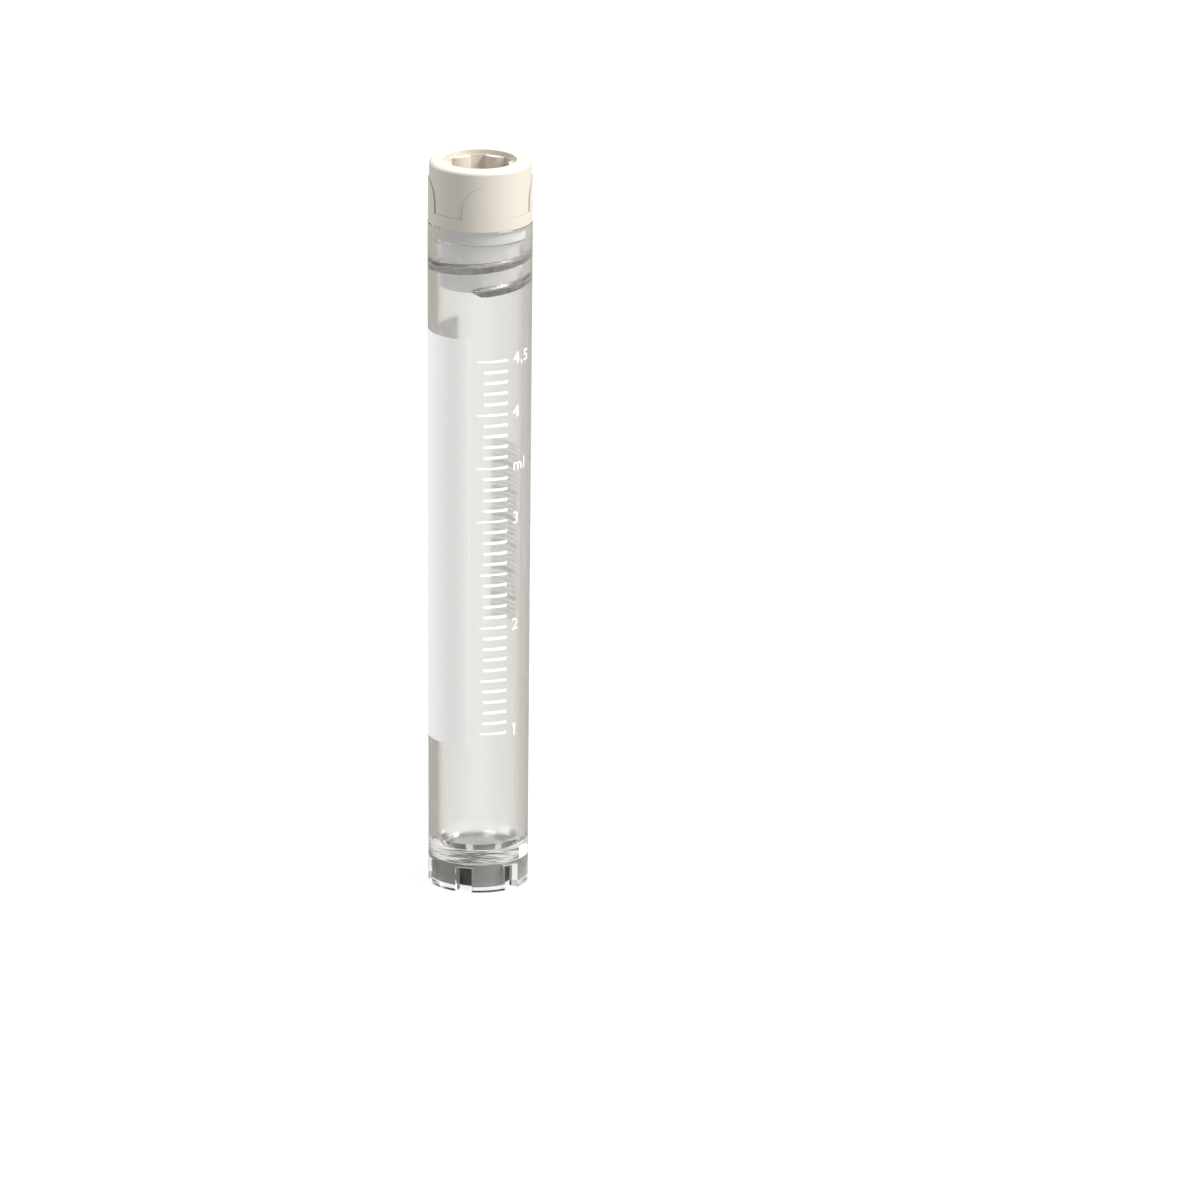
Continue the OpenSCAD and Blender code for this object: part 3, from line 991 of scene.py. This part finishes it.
class CRYOVIAL_OT_print(bpy.types.Operator):
    """Makes the printed panel, marks, figures and bars"""

    bl_idname = "cryovial.print"
    bl_label = "Print"

    def execute(self, context):
        sizes = TubeForm(context.scene)
        printing = context.scene.cryovial_print
        ink = plastic("white_ink", context.scene.cryovial_colours.ink, 0.5)
        panel = [printing.panel_low, printing.panel_height]
        panel += [printing.panel_start, printing.panel_turn]
        pieces = [
            self.lines("label_panel", [panel], sizes, printing),
            self.lines("scale_lines", self.marks(printing), sizes, printing),
            self.lines("bar_lines", self.bars(printing), sizes, printing),
        ]
        for piece, node in zip(pieces, ("writing_panel", "scale_marks", "bar_pattern")):
            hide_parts(node)
        for text, mark in FIGURES:
            height = printing.first_mark + mark * printing.mark_pitch + printing.figure_rise
            pieces.append(self.figure(text, height, sizes, printing))
        for piece in pieces:
            dress(piece, ink)
            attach(piece, "vial")
        return {"FINISHED"}

    def marks(self, printing):
        """Lower edge, width, start and turn of each mark. Each fifth one is long and thin."""
        rows = []
        for i in range(printing.marks):
            extra, width = 0, printing.mark_width
            if i % 5 == 0:
                upper = i >= printing.upper_from
                extra = printing.upper_extra if upper else printing.long_extra
                width = printing.long_width
            turn = printing.mark_turn + extra
            low = printing.first_mark + i * printing.mark_pitch - width / 2
            rows.append((low, width, printing.mark_end - turn, turn))
        return rows

    def bars(self, printing):
        """Bars of three widths by a plain rule. They encode nothing."""
        rows, low = [], printing.bars_low
        for i in range(printing.bars):
            width = printing.bar_width * (1 + (i * i + 2 * i) % 5 % 3)
            rows.append((low, width, printing.bars_start, printing.bars_turn))
            low += width + printing.bar_width
        return rows

    def lines(self, name, rows, sizes, printing):
        """Layers of ink on the wall as one piece. What repeats is modelled once and copied."""
        models, bands = {}, []
        for low, *kind in rows:
            kind = tuple(kind)
            if kind not in models:
                models[kind] = (low, self.band(name, low, *kind, sizes, printing))
                bands.append(models[kind][1])
                continue
            first, model = models[kind]
            pick(model)
            bpy.ops.object.duplicate()
            copy = bpy.context.object
            share = sizes.wall_radius(low) / sizes.wall_radius(first)
            copy.matrix_world = Matrix.Diagonal((share, share, 1, 1))
            copy.location.z = low - first
            bands.append(copy)
        return smooth(join(bands))

    def section(self, low, high, sizes, printing):
        """Outline of a layer of ink on the wall, from height low to high."""
        under, over = -UNDER_INK, printing.ink
        corners = ((low, under), (low, over), (high, over), (high, under))
        return [(sizes.wall_radius(z) + step, z) for z, step in corners]

    def band(self, name, low, height, start, turn, sizes, printing):
        """A layer of ink from height low up and from angle start round."""
        outline = self.section(low, low + height, sizes, printing)
        turns = turn / (2 * math.pi)
        steps = math.ceil(WALL_STEPS * turns) / turns
        return helix(name, ((0, 0), outline), FRONT + start, 0, turns, 0, steps)

    def figure(self, text, height, sizes, printing):
        """Figures beside a mark, one by one along the wall, trimmed to the layer of ink."""
        letters, at = [], FRONT + printing.figures_start
        radius = sizes.wall_radius(height)
        for letter in text:
            step = printing.figure_width * ROOM.get(letter, 1)
            middle = at + step / 2 / radius
            at += step / radius
            turn = Matrix.Rotation(middle - FRONT, 4, "Z")
            place = turn @ Matrix.Translation((0, -radius, height))
            piece = self.letter(letter, printing)
            piece.matrix_world = place @ piece.matrix_world
            bpy.ops.object.transform_apply(location=True, rotation=True, scale=True)
            finish_with(piece, "SOLIDIFY", thickness=0.3 * MM, offset=0)
            letters.append(piece)
        piece = self.blend(letters)
        low, high = height - printing.figure_height, height + printing.figure_height
        section = self.section(low, high, sizes, printing)
        layer = lathe("ink_layer", [*section, section[0]], FINE_STEPS)
        combine(piece, layer, "INTERSECT")
        piece.name = piece.data.name = "figure_" + text.replace(",", ".")
        return smooth(piece)

    def blend(self, letters):
        """Joins the letters to one closed solid, by way of a fine grid in millimetres."""
        piece = join(letters)
        enlarge(piece, 1 / MM)
        finish_with(piece, "REMESH", mode="VOXEL", voxel_size=0.016)
        enlarge(piece, MM)
        return piece

    def letter(self, letter, printing):
        """One upright letter in the XZ plane, its middle at the origin. The 1 has a flag."""
        half = printing.figure_height / 2
        if letter == "1":
            draw_face("1", [(x * half, z * half) for x, z in FLAGGED_ONE])
            return settle()
        start_piece()
        bpy.ops.object.text_add()
        piece = bpy.context.object
        piece.data.body = letter
        piece.data.size = printing.figure_size
        piece.data.align_x = "CENTER"
        piece.data.offset_y = -half
        bpy.ops.object.convert(target="MESH")
        mend(piece)
        piece.matrix_world = Matrix.Rotation(math.radians(90), 4, "X")
        return piece


class CRYOVIAL_OT_seal(bpy.types.Operator):
    """Models the seal ring between the plug and the seat"""

    bl_idname = "cryovial.seal"
    bl_label = "Seal ring"

    def execute(self, context):
        seal = context.scene.cryovial_seal
        low, high = (corner.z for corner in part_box("seal_ring"))
        inner, outer = seal.inner_radius, seal.outer_radius
        loop = [(inner, low), (outer, low), (outer, high), (inner, high), (inner, low)]
        piece = soften(lathe("seal_band", loop, WALL_STEPS), 0.04 * MM)
        smooth(piece)
        dress(piece, plastic("seal_silicone", context.scene.cryovial_colours.seal, 0.5))
        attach(piece, "seal")
        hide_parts("seal_ring")
        return {"FINISHED"}


class CRYOVIAL_OT_studio(bpy.types.Operator):
    """Sets up the floor, the light and the camera"""

    bl_idname = "cryovial.studio"
    bl_label = "Studio"

    def execute(self, context):
        scene, cycles = context.scene, context.scene.cycles
        self.floor()
        self.surroundings(scene)
        self.lamps()
        self.camera(scene, scene.cryovial_studio)
        scene.view_settings.view_transform = "Standard"
        cycles.max_bounces = cycles.glossy_bounces = cycles.transmission_bounces = 16
        return {"FINISHED"}

    def disc(self, name, radius, height):
        """A flat round stage piece."""
        start_piece()
        bpy.ops.mesh.primitive_circle_add(
            vertices=96, radius=radius, fill_type="NGON", location=(0, 0, height)
        )
        piece = bpy.context.object
        piece.name = name
        return piece

    def floor(self):
        """A pale floor, and a small one under the foot that only shows through clear plastic."""
        glow = {"Specular IOR Level": 0.0, "Emission Color": opaque((1, 1, 1))}
        floor = self.disc("studio_floor", 3, 0)
        floor.visible_transmission = floor.visible_glossy = floor.visible_diffuse = False
        glow["Emission Strength"] = 0.83
        dress(floor, plastic("floor_paint", (0.15, 0.15, 0.15), 1.0, **glow))
        sheen = self.disc("floor_through_foot", 10 * MM, -0.02 * MM)
        sheen.visible_camera = sheen.visible_diffuse = sheen.visible_shadow = False
        glow["Emission Strength"] = 0.9
        dress(sheen, plastic("floor_glow", (0, 0, 0), 1.0, **glow))

    def surroundings(self, scene):
        """White behind the vial, and a soft grey room for reflections and for light."""
        world = bpy.data.worlds.new("studio_room")
        scene.world = world
        shader = Shader(world)
        path = shader.node("ShaderNodeLightPath")

        def seen(name):
            return Value(shader, path.outputs[name]).math("MINIMUM", 1)

        clean = 1 - seen("Diffuse Depth")
        through = seen("Is Transmission Ray") * (1 - seen("Glossy Depth")) * clean
        mirrored = seen("Is Glossy Ray").math("MAXIMUM", seen("Is Transmission Ray")) * clean
        right, _, up = shader.axes(shader.node("ShaderNodeTexCoord").outputs["Generated"])
        # Mirrored: a warm wall that is lighter on the right, and a streaked light above it
        side = right.between(-0.6, 0.9)
        low = shader.mix(side, (0.45, 0.42, 0.37, 1), (0.62, 0.60, 0.56, 1))
        streak = (up * 55 + right * 6).math("SINE") * 0.5 + 0.5
        high = shader.mix(streak, (0.13, 0.13, 0.125, 1), (0.85, 0.85, 0.84, 1))
        mirror = shader.mix(up.between(-0.05, 0.12), low, high)
        # Light on what is matt, and what shows straight through the tube
        soft = shader.mix(up.between(-0.1, 0.1), (0.82, 0.825, 0.825, 1), (0.54, 0.545, 0.55, 1))
        middle = 1 - right.math("ABSOLUTE").between(0.01, 0.07)
        white = shader.mix(middle, (0.82, 0.81, 0.78, 1), (0.93, 0.925, 0.91, 1))
        colour = shader.mix(mirrored, soft, mirror)
        colour = shader.mix(through, colour, white)
        colour = shader.mix(seen("Is Camera Ray"), colour, (1, 1, 1, 1))
        light = shader.node("ShaderNodeBackground", None, {"Color": colour, "Strength": 1.0})
        shader.node("ShaderNodeOutputWorld", None, {"Surface": light.outputs[0]})

    def lamps(self):
        """A soft key light high on the right, and weak ones behind on the left and above."""
        for name, turn, rise, size, power, colour in LAMPS:
            turn, rise = math.radians(turn), math.radians(rise)
            level = math.cos(rise)
            place = Vector((math.sin(turn) * level, -math.cos(turn) * level, math.sin(rise)))
            start_piece()
            bpy.ops.object.light_add(type="AREA", location=place)
            lamp = bpy.context.object
            lamp.name = lamp.data.name = name
            lamp.data.size = size
            lamp.data.energy = power
            lamp.data.color = colour
            lamp.rotation_euler = (-place).to_track_quat("-Z", "Y").to_euler()

    def camera(self, scene, sizes):
        """A long lens from the front and a little above."""
        start_piece()
        back = math.cos(sizes.elevation) * sizes.distance
        rise = math.sin(sizes.elevation) * sizes.distance + sizes.pivot_height
        place = Vector((0, -back, rise))
        aim = Vector((sizes.aim_side, 0, sizes.aim_height))
        bpy.ops.object.camera_add(location=place)
        camera = bpy.context.object
        camera.name = "front_camera"
        camera.data.lens = sizes.lens
        camera.data.sensor_width = 36
        camera.data.clip_start, camera.data.clip_end = 0.1, 20
        sight = (aim - place).to_track_quat("-Z", "Y").to_matrix().to_4x4()
        roll = Matrix.Rotation(sizes.roll, 4, "Z")
        camera.matrix_world = Matrix.Translation(place) @ sight @ roll
        scene.camera = camera


class CRYOVIAL_PT_panel(bpy.types.Panel):
    """The pieces of the cryovial, in the order in which they are made"""

    bl_idname = "CRYOVIAL_PT_panel"
    bl_label = "Cryovial"
    bl_space_type = "VIEW_3D"
    bl_region_type = "UI"
    bl_category = "Cryovial"

    def draw(self, context):
        for operator in OPERATORS:
            self.layout.operator(operator.bl_idname)


SETTINGS = {
    "cryovial_tube": TubeSizes,
    "cryovial_foot": FootSizes,
    "cryovial_thread": ThreadSizes,
    "cryovial_cap": CapSizes,
    "cryovial_insert": InsertSizes,
    "cryovial_seal": SealSizes,
    "cryovial_print": PrintSizes,
    "cryovial_studio": StudioSizes,
    "cryovial_colours": Colours,
}
OPERATORS = (
    CRYOVIAL_OT_tube,
    CRYOVIAL_OT_insert,
    CRYOVIAL_OT_cap,
    CRYOVIAL_OT_seal,
    CRYOVIAL_OT_print,
    CRYOVIAL_OT_studio,
)


def register():
    for cls in (*SETTINGS.values(), *OPERATORS, CRYOVIAL_PT_panel):
        bpy.utils.register_class(cls)
    for name, group in SETTINGS.items():
        setattr(bpy.types.Scene, name, bpy.props.PointerProperty(type=group))


def unregister():
    for name in SETTINGS:
        delattr(bpy.types.Scene, name)
    for cls in (CRYOVIAL_PT_panel, *OPERATORS, *SETTINGS.values()):
        bpy.utils.unregister_class(cls)


def main():
    register()
    for operator in OPERATORS:
        group, name = operator.bl_idname.split(".")
        getattr(getattr(bpy.ops, group), name)()


if __name__ == "__main__":
    main()
